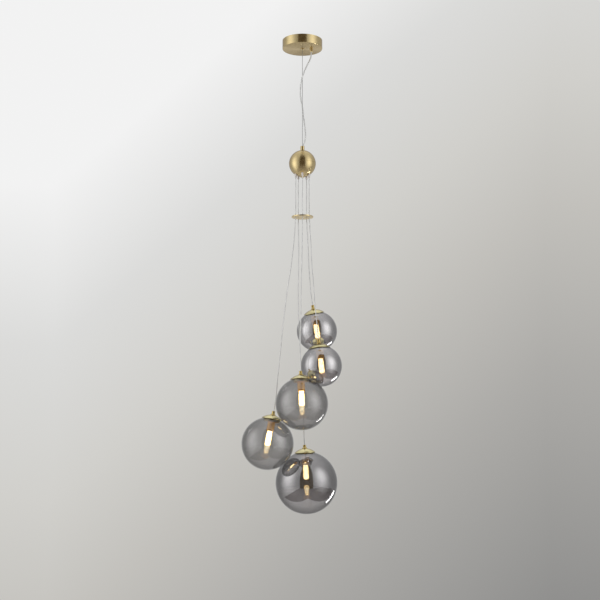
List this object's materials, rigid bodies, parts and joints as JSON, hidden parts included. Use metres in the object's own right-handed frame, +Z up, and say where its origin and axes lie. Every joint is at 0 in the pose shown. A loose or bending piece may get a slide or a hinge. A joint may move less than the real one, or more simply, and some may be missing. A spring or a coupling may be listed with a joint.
{
  "type": "cluster pendant lamp",
  "caption": "Cluster pendant: round brass canopy, steel wire and clear cables from a brass ball hub, a spacer disc, and smoked glass globes hung at stepped heights.",
  "frame": {"origin": "middle of the canopy's ceiling face, between the bracket's two screw slots", "axes": "+Z up towards the ceiling, +X to the right of a viewer in front of the lamp, +Y away from that viewer"},
  "size_m": [0.2898, 0.2618, 1.4085],
  "materials": {
    "satin_brass": "spun satin, fine turned lines",
    "steel": "drawn",
    "clear_plastic": "clear sheath over tinned cores",
    "smoked_glass": "half mirrored smoke grey, polished",
    "lit_bulb": "clear capsule, lit warm white",
    "white_ceramic": "matte",
    "black_plastic": "moulded"
  },
  "bodies": {
    "canopy": {"ceiling_bracket": "steel", "canopy_cover": "satin_brass", "canopy_grub_screws": "steel", "supply_terminal_block": "black_plastic", "wire_nozzle": "satin_brass", "power_cord_grip": "satin_brass", "power_cable": "clear_plastic"},
    "suspension": {"suspension_wire": "steel"},
    "hub": {"hub_stem": "satin_brass", "hub_upper_shell": "satin_brass", "hub_lower_shell": "satin_brass", "hub_tie_screw": "steel", "supply_splitter_block": "black_plastic", "hub_cable_bushes": "clear_plastic", "spacer_disc": "satin_brass", "upper_cable_1": "clear_plastic", "upper_cable_2": "clear_plastic", "upper_cable_3": "clear_plastic", "upper_cable_4": "clear_plastic", "upper_cable_5": "clear_plastic"},
    "pendant_1": {"lower_cable_1": "clear_plastic", "cable_gland_1": "satin_brass", "globe_cap_1": "satin_brass", "lampholder_1": "satin_brass", "ceramic_socket_1": "white_ceramic"},
    "globe_1": {"globe_collar_1": "satin_brass", "glass_globe_1": "smoked_glass"},
    "bulb_1": {"bulb_1": "lit_bulb"},
    "pendant_2": {"lower_cable_2": "clear_plastic", "cable_gland_2": "satin_brass", "globe_cap_2": "satin_brass", "lampholder_2": "satin_brass", "ceramic_socket_2": "white_ceramic"},
    "globe_2": {"globe_collar_2": "satin_brass", "glass_globe_2": "smoked_glass"},
    "bulb_2": {"bulb_2": "lit_bulb"},
    "pendant_3": {"lower_cable_3": "clear_plastic", "cable_gland_3": "satin_brass", "globe_cap_3": "satin_brass", "lampholder_3": "satin_brass", "ceramic_socket_3": "white_ceramic"},
    "globe_3": {"globe_collar_3": "satin_brass", "glass_globe_3": "smoked_glass"},
    "bulb_3": {"bulb_3": "lit_bulb"},
    "pendant_4": {"lower_cable_4": "clear_plastic", "cable_gland_4": "satin_brass", "globe_cap_4": "satin_brass", "lampholder_4": "satin_brass", "ceramic_socket_4": "white_ceramic"},
    "globe_4": {"globe_collar_4": "satin_brass", "glass_globe_4": "smoked_glass"},
    "bulb_4": {"bulb_4": "lit_bulb"},
    "pendant_5": {"lower_cable_5": "clear_plastic", "cable_gland_5": "satin_brass", "globe_cap_5": "satin_brass", "lampholder_5": "satin_brass", "ceramic_socket_5": "white_ceramic"},
    "globe_5": {"globe_collar_5": "satin_brass", "glass_globe_5": "smoked_glass"},
    "bulb_5": {"bulb_5": "lit_bulb"}
  },
  "joints": [
    {"name": "lamp_swing_sideways", "type": "hinge", "parent": "canopy", "child": "suspension", "pos_m": [0, 0, -0.02256], "axis": [0, 1, 0], "range_deg": [-8, 8], "deforming": ["power_cable"]},
    {"name": "hub_swing_front_back", "type": "hinge", "parent": "suspension", "child": "hub", "pos_m": [0, 0, -0.33939], "axis": [1, 0, 0], "range_deg": [-8, 8]},
    {"name": "pendant_1_swing_out", "type": "hinge", "parent": "hub", "child": "pendant_1", "pos_m": [0.01234, 0.01699, -0.544], "axis": [0.829, -0.5593, 0], "range_deg": [0, 30]},
    {"name": "globe_1_turn", "type": "hinge", "parent": "pendant_1", "child": "globe_1", "pos_m": [0.03324, 0.05369, -0.81613], "axis": [-0.165, -0.1045, 0.9807], "range_deg": [0, 60]},
    {"name": "bulb_1_pull", "type": "slide", "parent": "pendant_1", "child": "bulb_1", "axis": [0.165, 0.1045, -0.9807], "range_m": [0, 0.016]},
    {"name": "pendant_2_swing_out", "type": "hinge", "parent": "hub", "child": "pendant_2", "pos_m": [0.01997, -0.00649, -0.544], "axis": [0, -1, 0], "range_deg": [0, 30]},
    {"name": "globe_2_turn", "type": "hinge", "parent": "pendant_2", "child": "globe_2", "pos_m": [0.04859, -0.005, -0.9225], "axis": [-0.1045, 0, 0.9945], "range_deg": [0, 60]},
    {"name": "bulb_2_pull", "type": "slide", "parent": "pendant_2", "child": "bulb_2", "axis": [0.1045, 0, -0.9945], "range_m": [0, 0.016]},
    {"name": "pendant_3_swing_out", "type": "hinge", "parent": "hub", "child": "pendant_3", "pos_m": [0, -0.021, -0.544], "axis": [-0.9976, 0.0698, 0], "range_deg": [0, 30]},
    {"name": "globe_3_turn", "type": "hinge", "parent": "pendant_3", "child": "globe_3", "pos_m": [-0.00464, -0.05672, -1.01854], "axis": [-0.0349, 0.0698, 0.997], "range_deg": [0, 60]},
    {"name": "bulb_3_pull", "type": "slide", "parent": "pendant_3", "child": "bulb_3", "axis": [0.0349, -0.0698, -0.997], "range_m": [0, 0.016]},
    {"name": "pendant_4_swing_out", "type": "hinge", "parent": "hub", "child": "pendant_4", "pos_m": [-0.01997, -0.00649, -0.544], "axis": [-0.2307, 0.973, 0], "range_deg": [0, 30]},
    {"name": "globe_4_turn", "type": "hinge", "parent": "pendant_4", "child": "globe_4", "pos_m": [-0.08626, -0.02236, -1.13187], "axis": [0.1822, 0.0349, 0.9826], "range_deg": [0, 60]},
    {"name": "bulb_4_pull", "type": "slide", "parent": "pendant_4", "child": "bulb_4", "axis": [-0.1822, -0.0349, -0.9826], "range_m": [0, 0.016]},
    {"name": "pendant_5_swing_out", "type": "hinge", "parent": "hub", "child": "pendant_5", "pos_m": [-0.01234, 0.01699, -0.544], "axis": [0.866, 0.5, 0], "range_deg": [0, 30]},
    {"name": "globe_5_turn", "type": "hinge", "parent": "pendant_5", "child": "globe_5", "pos_m": [0.00689, 0.0326, -1.22867], "axis": [-0.0523, -0.0262, 0.9983], "range_deg": [0, 60]},
    {"name": "bulb_5_pull", "type": "slide", "parent": "pendant_5", "child": "bulb_5", "axis": [0.0523, 0.0262, -0.9983], "range_m": [0, 0.016]}
  ]
}
